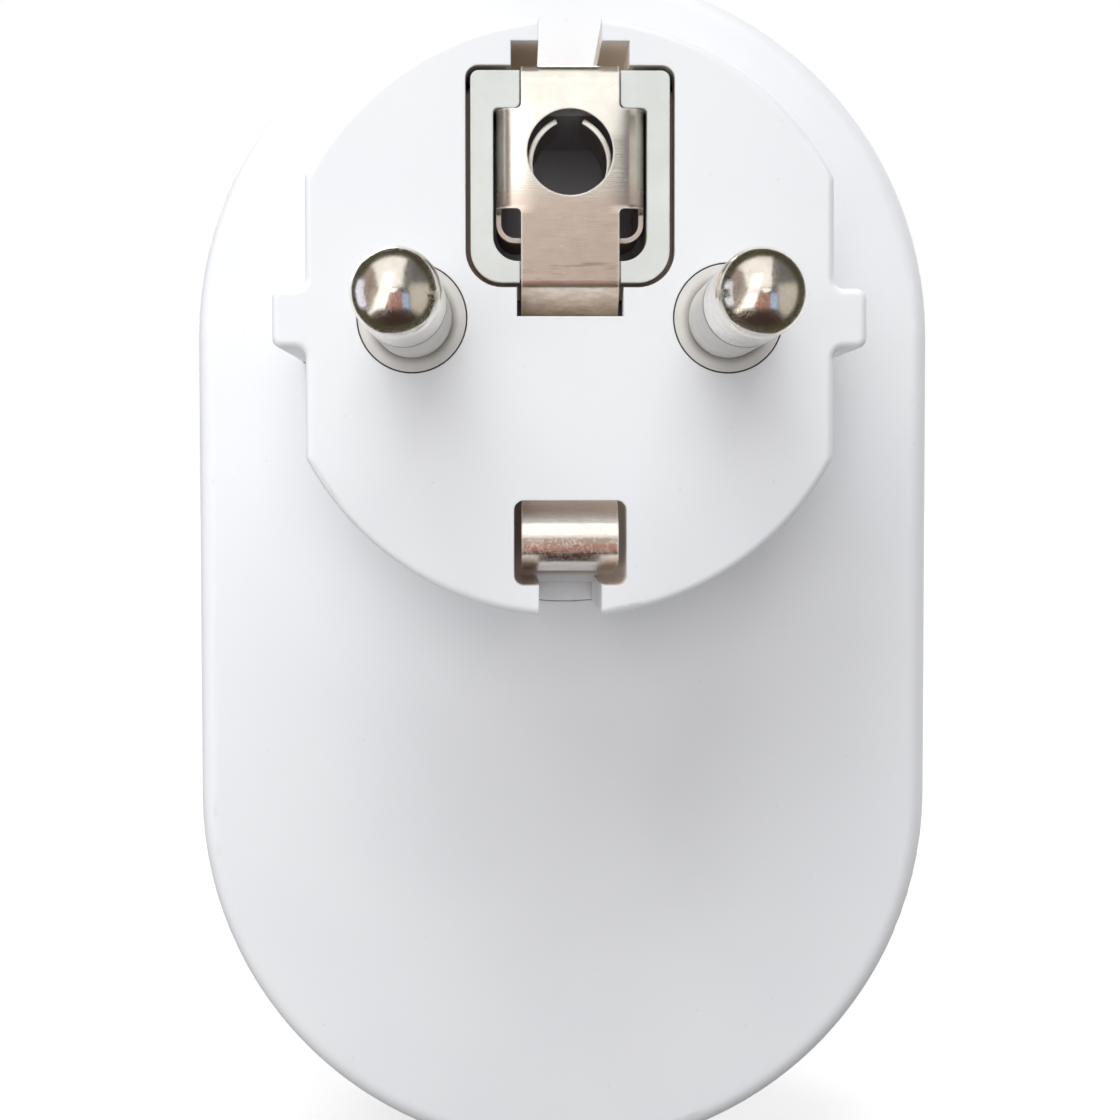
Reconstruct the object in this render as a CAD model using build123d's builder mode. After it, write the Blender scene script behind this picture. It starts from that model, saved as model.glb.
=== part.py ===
from build123d import *
from math import cos, radians, sin
import os

# Round two-pin plug adapter with side earth contacts, an outlet on the front and two USB ports.
# It stands as it does in a wall outlet. The origin is the centre of the plug face, midway between
# the pins: +Y runs from the plug face back to the outlet face, +Z is up. All sizes in millimetres.
os.makedirs("parts", exist_ok=True)

# Body: an oblong with half-round ends, its upper end centred on the plug
body_width = 50.0
body_height = 81.5
body_depth = 28.0
cover_depth = 8.0
wall = 2.0
rear_edge_radius = 1.2
front_edge_radius = 2.4
seam_chamfer = 0.2
lip_depth = 2.0
lip_thickness = 0.9
lip_gap = 0.1

# Plug body: round, with a flat on each side and a key standing on each flat
boss_radius = 18.0
boss_height = 17.0
boss_wall = 1.9
face_wall = 2.0
flat_half = 15.9
key_half = 1.8
key_reach = 17.9
rim_radius = 0.45
corner_radius = 0.6
joint_gap = 0.04
body_flange = 1.4
body_flange_thickness = 1.2

# Pins and their insulating bushes
pin_spacing = 19.0
pin_radius = 2.4
pin_length = 19.0
sleeve_length = 10.0
stem_radius = 1.7
running_gap = 0.08
bush_face_radius = 3.25
bush_step = 0.5
bush_flange = 1.2
collar_radius = 2.7
collar_height = 0.8
rivet_head_radius = 2.2
rivet_head = 0.6

# Upper earth contact: face plate, hole for an earth pin, side flanges and spring arms
sheet = 0.3
strip_half = 2.95
plate_half = 4.45
plate_height = 5.95
plate_gap = 0.04
flange_depth = 8.0
flange_bend = 0.8
step_radius = 0.3
earth_hole_inset = 2.59
earth_hole_radius = 2.58
side_contact_inset = 2.8
side_contact_depth = 12.3
top_bend = 1.0
foot_gap = 0.09
foot_drop = 1.75
foot_bend = 0.4
strap_gap = 0.1
strap_bend = 0.9
arm_front = 1.2
arm_width = 6.4
arm_gap = 1.35
arm_corner = 1.0
arm_root_x = 2.0
arm_root_rise = 3.15
arm_belly_x = 2.35
arm_tip_x = 0.8
arm_tip_inset = 0.57

# Lower earth contact: the same strip rolled over behind its pocket
roll_gap = 0.2
roll_height = 3.8
roll_front = 0.8
roll_shoulder = 1.5
roll_corner = 1.2
roll_bow = 0.55

# Grey frame round the upper contact
frame_half = 5.97
frame_height = 12.63
frame_inset = 3.24
frame_depth = 2.7
frame_sink = 0.1
frame_gap = 0.3
frame_low_corner = 1.9
frame_high_corner = 0.5
frame_bore_half = 4.62
frame_low_bar = 1.27
frame_high_bar = 2.22
frame_bore_corner = 1.5
frame_slot_half = 3.03
frame_flange = 0.9
frame_flange_inset = 1.0
bar_corner = 0.35
channel_gap = 0.08

# Pockets in the plug body that let an outlet's earth clips reach the side contacts
pocket_depth = 12.8
pocket_rim = 1.5
upper_pocket_half = 3.55
lower_pocket_half = 3.4
lower_pocket_inset = 7.05
pocket_corner = 0.6
slot_half = 1.9
pocket_lip = 0.4
pocket_wall = 1.3
notch_half = 3.2
notch_drop = 2.03

# Contact carrier inside the plug body
carrier_y = 5.0
carrier_plate = 1.6
carrier_gap = 0.3
cup_depth = 16.0
cup_floor = 1.4
cup_top_gap = 0.2
chimney_radius = 4.1
chimney_bore = 3.4
carrier_screw_inset = 2.1
carrier_screw_angle = 44.4
post_radius = 2.3
screw_radius = 0.9
screw_head_radius = 1.9
screw_head = 1.1
screw_length = 5.0
screw_play = 0.15

# Outlet in the front cover and its contacts
cover_wall = 2.2
well_radius = 19.75
well_depth = 17.5
well_wall = 1.8
well_rim = 0.9
plug_fit = 0.4
rib_half = 7.0
mouth_radius = 0.5
outlet_hole_radius = 2.75
contact_sheet = 0.5
contact_disc_radius = 3.2
contact_tab_half = 1.4
contact_tab_gap = 0.7
tab_slot_depth = 2.0
jaw_radius = 2.35
jaw_length = 15.0
jaw_gap = 1.6
clip_half = 2.0
clip_sheet = 0.5
clip_root_z = 17.6
clip_belly_z = 15.3
clip_length = 14.0
clip_belly_share = 0.6
clip_bend = 2.5
clip_window_gap = 0.3
earth_post_radius = 1.5
earth_post_z = -5.0
tenon_radius = 0.9

# Charger board and its parts
board_thickness = 1.6
board_gap = 0.6
board_top_gap = 1.85
board_margin = 1.0
board_screw_inset = 2.2
board_screw_angle = 33.0
seat_gap = 0.1
usb_film_gap = 0.65
usb_pitch = 11.5
usb_width = 13.1
usb_height = 5.7
usb_sheet = 0.35
usb_depth = 14.0
usb_recess = 1.7
usb_cover_gap = 0.2
bezel_margin = 1.6
bezel_flange = 0.9
bezel_flange_thickness = 0.8
usb_base = 1.8
tongue_width = 11.1
tongue_thickness = 1.85
tongue_setback = 2.5
tongue_rise = 0.75
usb_contact_width = 1.0
usb_contact_sheet = 0.25
usb_inner_x = 1.0
usb_outer_x = 3.5
transformer_rise = 26.0
transformer_gap = 1.45
core_height = 12.4
core_depth = 6.0
core_leg = 2.6
coil_depth = 11.4
coil_corner = 2.0
capacitor_radius = 4.0
capacitor_length = 12.0
capacitor_gap = 2.45
capacitor_rise = 20.0
capacitor_pitch = 8.6
output_radius = 3.15
output_length = 11.0
output_inset = 1.25
output_angle = 50.5
can_edge = 0.5
choke_radius = 2.6
choke_waist = 1.9
choke_flange = 1.0
choke_length = 7.5
choke_inset = 0.5
choke_angle = 59.8
film_width = 11.0
film_thickness = 4.0
film_height = 7.0
film_gap = 0.6
fuse_radius = 1.3
fuse_cap = 1.4
fuse_length = 8.0
fuse_x = 0.0
fuse_z = -27.0
rectifier_size = 4.6
rectifier_height = 1.6
rectifier_x = -9.0
rectifier_z = -33.0
chip_width = 4.9
chip_length = 3.9
chip_height = 1.5
chip_x = 0.0
chip_z = -36.0
coupler_width = 4.6
coupler_length = 6.5
coupler_height = 2.2
coupler_x = 8.0
coupler_z = -36.0
leg_width = 0.4
leg_reach = 1.0
lead_radius = 0.8
lead_inset = 1.2
lead_gap = 1.7
lead_bend_share = 0.65
lead_board_inset = 2.2

# Depths that follow from the sizes above
front_y = boss_height + body_depth
seam_y = front_y - cover_depth
tray_y = boss_height + wall
well_floor_y = front_y - well_depth
well_back_y = well_floor_y - well_wall
bush_back_y = face_wall + bush_flange
carrier_back_y = carrier_y + carrier_plate
contact_back_y = carrier_back_y + contact_sheet
strap_y = face_wall + strap_gap + sheet / 2
strap_back_y = strap_y + sheet / 2
board_y = front_y - usb_recess - usb_depth
board_back_y = board_y - board_thickness
bridge_y = well_back_y - clip_sheet / 2
lead_turn_y = tray_y + lead_radius + lead_gap
lead_bend = lead_bend_share * (board_back_y - lead_turn_y)

# Upper earth contact and its frame, measured down from the rim of the plug body
cavity_radius = boss_radius - boss_wall
cavity_half = flat_half - boss_wall
pocket_reach = boss_radius - pocket_rim
side_contact_z = boss_radius - side_contact_inset
frame_high = boss_radius - frame_inset
frame_low = frame_high - frame_height
frame_bore_high = frame_high - frame_high_bar
frame_bore_low = frame_low + frame_low_bar
plate_high = frame_bore_high - plate_gap
plate_low = plate_high - plate_height
earth_hole_z = plate_high - earth_hole_inset
arm_tip_z = plate_high - arm_tip_inset
arm_floor_z = frame_bore_low + arm_gap
arm_root_z = arm_floor_z + arm_root_rise
foot_z = frame_low - foot_gap
notch_low = frame_low - notch_drop

# Lower earth contact, carrier screws and contact tabs, measured up from the rim
lower_pocket_z = lower_pocket_inset - boss_radius
roll_top_z = lower_pocket_z - roll_gap
roll_low_z = roll_top_z - roll_height
carrier_screw_reach = cavity_radius - carrier_screw_inset
carrier_screw_x = carrier_screw_reach * cos(radians(carrier_screw_angle))
carrier_screw_z = -carrier_screw_reach * sin(radians(carrier_screw_angle))
contact_tab_z = carrier_screw_z + screw_head_radius + contact_tab_gap
lead_z = contact_tab_z + lead_inset
bush_flange_radius = bush_face_radius + bush_step
pin_x = pin_spacing / 2
sides = [-1, 1]

# Charger board between the outlet well and the round lower end of the body
end_gap = body_height - body_width
bottom_z = body_width / 2 - body_height
board_radius = body_width / 2 - wall - lip_gap - lip_thickness - board_gap
board_top_z = -well_radius - well_wall - board_top_gap
board_screw_reach = board_radius - board_screw_inset
board_screw_x = board_screw_reach * cos(radians(board_screw_angle))
board_screw_z = -end_gap - board_screw_reach * sin(radians(board_screw_angle))
film_z = board_top_z - film_gap - film_thickness / 2
usb_upper_z = film_z - film_thickness / 2 - usb_film_gap - usb_height / 2
usb_heights = [usb_upper_z, usb_upper_z - usb_pitch]
lead_board_z = board_top_z - lead_board_inset

# Tall parts on the board: beside the ports, or along the round lower edge
core_width = board_radius - board_margin - usb_width / 2 - transformer_gap
transformer_x = -usb_width / 2 - transformer_gap - core_width / 2
transformer_z = bottom_z + transformer_rise
capacitor_x = usb_width / 2 + capacitor_gap + capacitor_radius
capacitor_lower_z = bottom_z + capacitor_rise
output_reach = board_radius - output_inset - output_radius
output_x = -output_reach * cos(radians(output_angle))
output_z = -end_gap - output_reach * sin(radians(output_angle))
choke_reach = board_radius - choke_inset - choke_radius
choke_x = choke_reach * cos(radians(choke_angle))
choke_z = -end_gap - choke_reach * sin(radians(choke_angle))


def at_depth(depth):
    """The plug face moved back into the body: x to the right, y up, extrusions run by -length."""
    return Plane.XZ.offset(-depth)


def oblong(width, mode=Mode.ADD):
    """Body outline of a given width, with its upper end centred on the plug."""
    with Locations((0, -end_gap / 2)):
        SlotCenterToCenter(end_gap, width, rotation=90, mode=mode)


def plug_outline(gap):
    """Outline of the round plug body with its flats and keys, plus a gap all round."""
    with BuildSketch() as outline:
        Circle(boss_radius + gap)
        Rectangle(2 * (flat_half + gap), 2 * (boss_radius + gap), mode=Mode.INTERSECT)
        Rectangle(2 * (key_reach + gap), 2 * (key_half + gap))
        fillet(outline.vertices(), corner_radius)
    return outline.sketch


def cavity_outline(gap):
    """Inside of the round plug body, less a gap all round."""
    Circle(cavity_radius - gap)
    Rectangle(2 * (cavity_half - gap), 2 * boss_radius, mode=Mode.INTERSECT)


def band(half, low, high, mode=Mode.ADD):
    """Rectangle centred in x between two heights."""
    with Locations((0, (low + high) / 2)):
        Rectangle(2 * half, high - low, mode=mode)


def bezel_outline(margin):
    """Outline round both USB openings, with a margin all round."""
    with Locations((0, (usb_heights[0] + usb_heights[1]) / 2)):
        RectangleRounded(usb_width + 2 * margin, usb_pitch + usb_height + 2 * margin, margin)


def rounded_band(half, low, high, low_corner, high_corner):
    """Rectangle whose lower and upper corners have their own radii."""
    with BuildSketch() as outline:
        band(half, low, high)
        fillet(outline.vertices().group_by(Axis.Y)[0], low_corner)
        fillet(outline.vertices().group_by(Axis.Y)[-1], high_corner)
    return outline.sketch


def pair(x, z):
    """Two places, one each side of the middle."""
    return Locations((-x, z), (x, z))


def finish(builder, name):
    """Label a piece and write it."""
    builder.part.label = name
    export_step(builder.part, f"parts/{name}.step")


# Rear housing: oblong tray with an opening for the round plug body
rear_depth = body_depth - cover_depth

with BuildPart() as rear_housing:
    with BuildSketch(at_depth(boss_height)):
        oblong(body_width)
    extrude(amount=-rear_depth)
    fillet(rear_housing.edges().group_by(Axis.Y)[0], rear_edge_radius)
    chamfer(rear_housing.edges().group_by(Axis.Y)[-1], seam_chamfer)
    with BuildSketch(at_depth(tray_y)):
        oblong(body_width - 2 * wall)
    extrude(amount=wall - rear_depth, mode=Mode.SUBTRACT)

    with BuildSketch(at_depth(boss_height)):
        add(plug_outline(joint_gap))
    extrude(amount=-wall, mode=Mode.SUBTRACT)

    # Posts for the board screws
    with BuildSketch(at_depth(tray_y)):
        with pair(board_screw_x, board_screw_z):
            Circle(post_radius)
    extrude(amount=tray_y - board_back_y)
    with BuildSketch(at_depth(board_back_y)):
        with pair(board_screw_x, board_screw_z):
            Circle(screw_radius)
    extrude(amount=screw_length - board_thickness, mode=Mode.SUBTRACT)
finish(rear_housing, "rear_housing")

# Plug body: round cup with flats and keys, put through the tray from inside and held by its flange
with BuildPart() as plug_body:
    with BuildSketch(at_depth(0)):
        add(plug_outline(0))
    extrude(amount=-tray_y)
    fillet(plug_body.faces().sort_by(Axis.Y)[0].outer_wire().edges(), rim_radius)
    with BuildSketch(at_depth(tray_y)):
        Circle(boss_radius + body_flange)
    extrude(amount=-body_flange_thickness)
    with BuildSketch(at_depth(face_wall)):
        cavity_outline(0)
    extrude(amount=face_wall - tray_y - body_flange_thickness, mode=Mode.SUBTRACT)

    # Side walls and floors of the two earth pockets
    with BuildSketch(at_depth(face_wall)):
        band(upper_pocket_half + pocket_wall, frame_high, cavity_radius)
        band(lower_pocket_half + pocket_wall, -cavity_radius, lower_pocket_z)
    extrude(amount=face_wall - tray_y)
    with BuildSketch(at_depth(pocket_depth + pocket_wall)):
        band(lower_pocket_half, pocket_wall - pocket_reach, lower_pocket_z)
    extrude(amount=pocket_depth + pocket_wall - tray_y, mode=Mode.SUBTRACT)

    # The pockets and their slots out to the rim
    with BuildSketch(at_depth(0)):
        band(upper_pocket_half, frame_high, pocket_reach)
        band(slot_half, pocket_reach, 2 * boss_radius)
        band(slot_half, -2 * boss_radius, pocket_lip - pocket_reach)
        add(rounded_band(lower_pocket_half, pocket_lip - pocket_reach, lower_pocket_z,
                         pocket_corner, pocket_corner))
    extrude(amount=-pocket_depth, mode=Mode.SUBTRACT)
    with BuildSketch(at_depth(pocket_depth)):
        band(slot_half, pocket_reach, 2 * boss_radius)
        band(slot_half, -2 * boss_radius, -pocket_reach)
    extrude(amount=pocket_depth - boss_height, mode=Mode.SUBTRACT)

    # Openings in the plug face for the frame, the strap and the pin bushes
    with BuildSketch(at_depth(0)):
        add(rounded_band(frame_half + frame_gap, frame_low - frame_gap, frame_high + frame_gap,
                         frame_low_corner + frame_gap, frame_high_corner + frame_gap))
        band(notch_half, notch_low, frame_low)
        with pair(pin_x, 0):
            Circle(bush_face_radius + running_gap)
    extrude(amount=-face_wall, mode=Mode.SUBTRACT)

    # Posts for the carrier screws
    with BuildSketch(at_depth(face_wall)):
        with pair(carrier_screw_x, carrier_screw_z):
            Circle(post_radius)
    extrude(amount=face_wall - carrier_y)
    with BuildSketch(at_depth(carrier_y)):
        with pair(carrier_screw_x, carrier_screw_z):
            Circle(screw_radius)
    extrude(amount=screw_length - carrier_plate, mode=Mode.SUBTRACT)
finish(plug_body, "plug_body")

# Front cover: openings for the outlet cup and the USB bezel, and a lip that locates in the tray
with BuildPart() as front_cover:
    with BuildSketch(at_depth(seam_y)):
        oblong(body_width)
    extrude(amount=-cover_depth)
    fillet(front_cover.edges().group_by(Axis.Y)[-1], front_edge_radius)
    chamfer(front_cover.edges().group_by(Axis.Y)[0], seam_chamfer)
    with BuildSketch(at_depth(seam_y)):
        oblong(body_width - 2 * wall)
    extrude(amount=cover_wall - cover_depth, mode=Mode.SUBTRACT)
    with BuildSketch(at_depth(seam_y - lip_depth)):
        oblong(body_width - 2 * wall - 2 * lip_gap)
        oblong(body_width - 2 * wall - 2 * lip_gap - 2 * lip_thickness, Mode.SUBTRACT)
    extrude(amount=-lip_depth)
    with BuildSketch(at_depth(seam_y)):
        oblong(body_width - 2 * wall)
        oblong(body_width - 2 * wall - 2 * lip_gap - 2 * lip_thickness, Mode.SUBTRACT)
    extrude(amount=cover_wall - cover_depth)

    with BuildSketch(at_depth(front_y - cover_wall)):
        Circle(well_radius + well_rim + joint_gap)
        bezel_outline(bezel_margin + joint_gap)
    extrude(amount=-cover_wall, mode=Mode.SUBTRACT)
finish(front_cover, "front_cover")

# Outlet cup: seats behind the cover with its rim through it; its ribs take a plug's flats and keys
with BuildPart() as outlet_cup:
    with BuildSketch(at_depth(well_back_y)):
        Circle(well_radius + well_wall)
    extrude(amount=well_back_y - front_y + cover_wall)
    with BuildSketch(at_depth(front_y - cover_wall)):
        Circle(well_radius + well_rim)
    extrude(amount=-cover_wall)
    with BuildSketch(at_depth(well_floor_y)) as well_outline:
        Circle(well_radius)
        with pair(flat_half + plug_fit + well_radius, 0):
            Rectangle(2 * well_radius, 2 * rib_half, mode=Mode.SUBTRACT)
        Rectangle(2 * (key_reach + plug_fit), 2 * (key_half + plug_fit))
        fillet(well_outline.vertices(), corner_radius)
    extrude(amount=-well_depth, mode=Mode.SUBTRACT)
    fillet(outlet_cup.faces().sort_by(Axis.Y)[-1].inner_wires().edges(), mouth_radius)

    # Holes for the plug pins and windows for the two earth clips
    with BuildSketch(at_depth(well_back_y)):
        with pair(pin_x, 0):
            Circle(outlet_hole_radius)
        for side in sides:
            with Locations((0, side * (clip_root_z + clip_sheet / 2))):
                Rectangle(2 * (clip_half + clip_window_gap), clip_sheet + 2 * clip_window_gap)
    extrude(amount=-well_wall, mode=Mode.SUBTRACT)
finish(outlet_cup, "outlet_cup")

# USB bezel: plate set flush in the cover, held by a flange behind it, with one opening per port
with BuildPart() as usb_bezel:
    with BuildSketch(at_depth(front_y - cover_wall)):
        bezel_outline(bezel_margin)
    extrude(amount=-cover_wall)
    with BuildSketch(at_depth(front_y - cover_wall - bezel_flange_thickness)):
        bezel_outline(bezel_margin + bezel_flange)
    extrude(amount=-bezel_flange_thickness)
    with BuildSketch(at_depth(front_y - cover_wall - bezel_flange_thickness)):
        for z in usb_heights:
            with Locations((0, z)):
                RectangleRounded(usb_width + 2 * usb_cover_gap, usb_height + 2 * usb_cover_gap,
                                 corner_radius)
    extrude(amount=-cover_wall - bezel_flange_thickness, mode=Mode.SUBTRACT)
finish(usb_bezel, "usb_bezel")


def make_pin(side, name):
    """Turned pin: domed contact end, thinner stem in its bush, collar and riveted tail."""
    collar_back_y = bush_back_y + collar_height
    tail_y = contact_back_y + rivet_head
    dome_y = pin_radius - pin_length
    with BuildPart() as pin:
        with BuildSketch(Plane(origin=(side * pin_x, 0, 0))):
            with BuildLine():
                Polyline((0, -pin_length), (0, tail_y), (rivet_head_radius, tail_y),
                         (rivet_head_radius, contact_back_y), (stem_radius, contact_back_y),
                         (stem_radius, collar_back_y), (collar_radius, collar_back_y),
                         (collar_radius, bush_back_y), (stem_radius, bush_back_y),
                         (stem_radius, -sleeve_length), (pin_radius, -sleeve_length),
                         (pin_radius, dome_y))
                TangentArc((pin_radius, dome_y), (0, -pin_length), tangent=(0, -1))
            make_face()
        revolve(axis=Axis((side * pin_x, 0, 0), (0, 1, 0)))
    finish(pin, name)


def make_bush(side, name):
    """Insulating sleeve flush with the pin, its face disc flush with the plug face."""
    with BuildPart() as bush:
        with BuildSketch(Plane(origin=(side * pin_x, 0, 0))):
            with BuildLine():
                Polyline((stem_radius + running_gap / 2, -sleeve_length), (pin_radius, -sleeve_length),
                         (pin_radius, 0), (bush_face_radius, 0), (bush_face_radius, face_wall),
                         (bush_flange_radius, face_wall), (bush_flange_radius, bush_back_y),
                         (stem_radius + running_gap / 2, bush_back_y), close=True)
            make_face()
        revolve(axis=Axis((side * pin_x, 0, 0), (0, 1, 0)))
    finish(bush, name)


make_pin(-1, "line_pin")
make_pin(1, "neutral_pin")
make_bush(-1, "line_pin_bush")
make_bush(1, "neutral_pin_bush")

# Grey frame: sits in the plug face round the upper earth contact
with BuildPart() as earth_frame:
    with BuildSketch(at_depth(frame_sink)):
        add(rounded_band(frame_half, frame_low, frame_high, frame_low_corner, frame_high_corner))
        add(rounded_band(frame_bore_half, frame_bore_low, frame_bore_high, frame_bore_corner, sheet),
            mode=Mode.SUBTRACT)
        band(frame_slot_half, frame_bore_high - sheet, frame_high, mode=Mode.SUBTRACT)
    extrude(amount=-frame_depth)
    bar_ends = earth_frame.edges().filter_by(Axis.Y).filter_by_position(
        Axis.X, -frame_slot_half, frame_slot_half).filter_by_position(Axis.Z, earth_hole_z, frame_high)
    fillet(bar_ends, bar_corner)

    # Flange behind the plug face, which holds the frame in and closes the gap round it
    with BuildSketch(at_depth(face_wall)):
        add(rounded_band(frame_half + frame_flange, frame_low - frame_flange,
                         frame_high - frame_flange_inset, frame_low_corner + frame_flange,
                         frame_high_corner))
        add(rounded_band(frame_half, frame_low, frame_high, frame_low_corner, frame_high_corner),
            mode=Mode.SUBTRACT)
    extrude(amount=face_wall - frame_sink - frame_depth)

    # Channel that the strap lies in, and room for it to turn down below the bar
    with BuildSketch(at_depth(0)):
        band(strip_half + channel_gap, 0, earth_hole_z)
    extrude(amount=-sheet - channel_gap, mode=Mode.SUBTRACT)
    with BuildSketch(at_depth(0)):
        band(strip_half + channel_gap, 0, foot_z + sheet)
    extrude(amount=-frame_sink - frame_depth, mode=Mode.SUBTRACT)
finish(earth_frame, "earth_frame")

# Earth contact: one folded strip. The strap runs from the upper side contact over the plug face,
# down behind it and round the lower roll. Side flanges fold back from the face plate and carry
# a pair of sprung arms that grip an earth pin.
face_y = sheet / 2
roll_y = roll_front + sheet / 2
roll_high = roll_top_z - sheet / 2
roll_low = roll_low_z + sheet / 2
top_z = side_contact_z - sheet / 2
flange_x = plate_half - sheet / 2

with BuildPart() as earth_contact:
    with BuildSketch(Plane.YZ):
        with BuildLine():
            FilletPolyline((side_contact_depth, top_z), (face_y, top_z), (face_y, foot_z),
                           (strap_y, foot_z - foot_drop), (strap_y, roll_high),
                           (roll_y, roll_high - roll_shoulder), (roll_y, roll_low),
                           (roll_y + 2 * roll_corner, roll_low),
                           (side_contact_depth / 2 + roll_y, roll_low - roll_bow),
                           (side_contact_depth, roll_low),
                           radius=[top_bend, foot_bend, foot_bend, strap_bend, roll_corner,
                                   roll_corner, roll_corner, roll_corner])
        trace(line_width=sheet)
    extrude(amount=strip_half, both=True)

    # Face plate with its sides folded back
    with BuildSketch(Plane.XY.offset(plate_low)):
        with BuildLine():
            FilletPolyline((-flange_x, flange_depth), (-flange_x, face_y), (flange_x, face_y),
                           (flange_x, flange_depth), radius=flange_bend)
        trace(line_width=sheet)
    extrude(amount=plate_high - plate_low)

    # Sprung arms: each runs down from its flange, turns in under the plate and rises past the hole
    for side in sides:
        with BuildSketch(at_depth(arm_front)):
            with BuildLine():
                run = FilletPolyline((side * flange_x, plate_high), (side * flange_x, arm_floor_z),
                                     (side * arm_root_x, arm_floor_z), (side * arm_root_x, arm_root_z),
                                     radius=arm_corner)
                ThreePointArc(run @ 1, (side * arm_belly_x, earth_hole_z), (side * arm_tip_x, arm_tip_z))
            trace(line_width=sheet)
        extrude(amount=-arm_width)

    # Rounded steps where the strap meets the plate, the earth pin hole and the post hole
    steps = earth_contact.edges().filter_by(Axis.Y).filter_by_position(Axis.Y, 0, sheet)
    steps = steps.filter_by_position(Axis.X, -strip_half - sheet, strip_half + sheet)
    fillet(steps.filter_by_position(Axis.Z, plate_low - sheet, plate_high + sheet), step_radius)
    with BuildSketch(at_depth(0)):
        with Locations((0, earth_hole_z)):
            Circle(earth_hole_radius)
    extrude(amount=-sheet, mode=Mode.SUBTRACT)
    with BuildSketch(at_depth(strap_y - sheet)):
        with Locations((0, earth_post_z)):
            Circle(tenon_radius + running_gap)
    extrude(amount=-2 * sheet, mode=Mode.SUBTRACT)
finish(earth_contact, "earth_contact")

# Contact carrier: plate across the plug body, with a cup behind the frame and a chimney per contact
cup_top = side_contact_z - sheet - cup_top_gap
with BuildPart() as contact_carrier:
    with BuildSketch(at_depth(carrier_y)):
        cavity_outline(carrier_gap)
    extrude(amount=-carrier_plate)
    with BuildSketch(at_depth(bush_back_y)):
        with pair(pin_x, 0):
            Circle(bush_flange_radius)
    extrude(amount=bush_back_y - carrier_back_y)
    with BuildSketch(at_depth(carrier_y)):
        with pair(pin_x, 0):
            Circle(chimney_radius)
    extrude(amount=carrier_y - well_back_y + carrier_gap)
    with BuildSketch(at_depth(frame_sink + frame_depth)):
        add(rounded_band(frame_half, frame_low, cup_top, frame_low_corner, frame_high_corner))
    extrude(amount=frame_sink + frame_depth - cup_depth - cup_floor)

    # Room for the pockets of the housing
    with BuildSketch(at_depth(carrier_y)):
        band(upper_pocket_half + pocket_wall + carrier_gap, cup_top, 2 * cavity_radius)
        band(lower_pocket_half + pocket_wall + carrier_gap, -2 * cavity_radius, lower_pocket_z + carrier_gap)
    extrude(amount=-carrier_plate, mode=Mode.SUBTRACT)

    # Inside of the cup and of the chimneys, with a slot for each contact's tab
    with BuildSketch(at_depth(frame_sink + frame_depth)):
        add(rounded_band(frame_bore_half, frame_bore_low, frame_bore_high, frame_bore_corner, sheet))
    extrude(amount=frame_sink + frame_depth - cup_depth, mode=Mode.SUBTRACT)
    with BuildSketch(at_depth(carrier_back_y)):
        with pair(pin_x, 0):
            Circle(chimney_bore)
    extrude(amount=carrier_back_y - well_back_y, mode=Mode.SUBTRACT)
    with BuildSketch(at_depth(carrier_back_y)):
        with pair(pin_x, -chimney_radius):
            Rectangle(2 * (contact_tab_half + carrier_gap), 2 * chimney_radius - 2 * jaw_radius)
    extrude(amount=-tab_slot_depth, mode=Mode.SUBTRACT)

    # Seats for the pin collars, and holes for stems, earth post and screws
    with BuildSketch(at_depth(bush_back_y)):
        with pair(pin_x, 0):
            Circle(collar_radius + running_gap)
    extrude(amount=-collar_height, mode=Mode.SUBTRACT)
    with BuildSketch(at_depth(bush_back_y)):
        with pair(pin_x, 0):
            Circle(stem_radius + running_gap)
        with Locations((0, earth_post_z)):
            Circle(earth_post_radius + running_gap)
        with pair(carrier_screw_x, carrier_screw_z):
            Circle(screw_radius + screw_play)
    extrude(amount=bush_back_y - carrier_back_y, mode=Mode.SUBTRACT)
finish(contact_carrier, "contact_carrier")


def make_outlet_contact(side, name):
    """Disc riveted to the pin, a tab for its lead, and two curved jaws for a plug pin."""
    with BuildPart() as contact:
        with BuildSketch(at_depth(carrier_back_y)):
            with Locations((side * pin_x, 0)):
                Circle(contact_disc_radius)
            with Locations((side * pin_x, contact_tab_z / 2)):
                Rectangle(2 * contact_tab_half, -contact_tab_z)
            with Locations((side * pin_x, 0)):
                Circle(stem_radius + running_gap, mode=Mode.SUBTRACT)
        extrude(amount=-contact_sheet)
        with BuildSketch(at_depth(contact_back_y)):
            with Locations((side * pin_x, 0)):
                Circle(jaw_radius + contact_sheet)
                Circle(jaw_radius, mode=Mode.SUBTRACT)
                Rectangle(4 * jaw_radius, jaw_gap, mode=Mode.SUBTRACT)
        extrude(amount=-jaw_length)
    finish(contact, name)


make_outlet_contact(-1, "line_contact")
make_outlet_contact(1, "neutral_contact")

# Earth bridge: one strip behind the well, its ends folded forward as the outlet's two earth clips
clip_end_y = well_floor_y + clip_length
clip_belly_y = well_floor_y + clip_belly_share * clip_length
clip_centre_z = clip_root_z + clip_sheet / 2
clip_knee_y = (bridge_y + clip_belly_y) / 2

with BuildPart() as earth_bridge:
    with BuildSketch(Plane.YZ):
        with BuildLine():
            FilletPolyline((clip_end_y, -clip_centre_z), (clip_belly_y, -clip_belly_z - clip_sheet / 2),
                           (clip_knee_y, -clip_centre_z), (bridge_y, -clip_centre_z),
                           (bridge_y, clip_centre_z), (clip_knee_y, clip_centre_z),
                           (clip_belly_y, clip_belly_z + clip_sheet / 2), (clip_end_y, clip_centre_z),
                           radius=[clip_bend, clip_bend, clip_sheet, clip_sheet, clip_bend, clip_bend])
        trace(line_width=clip_sheet)
    extrude(amount=clip_half, both=True)
    with BuildSketch(at_depth(bridge_y - clip_sheet)):
        with Locations((0, earth_post_z)):
            Circle(tenon_radius + running_gap)
    extrude(amount=-2 * clip_sheet, mode=Mode.SUBTRACT)
finish(earth_bridge, "earth_bridge")

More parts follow.
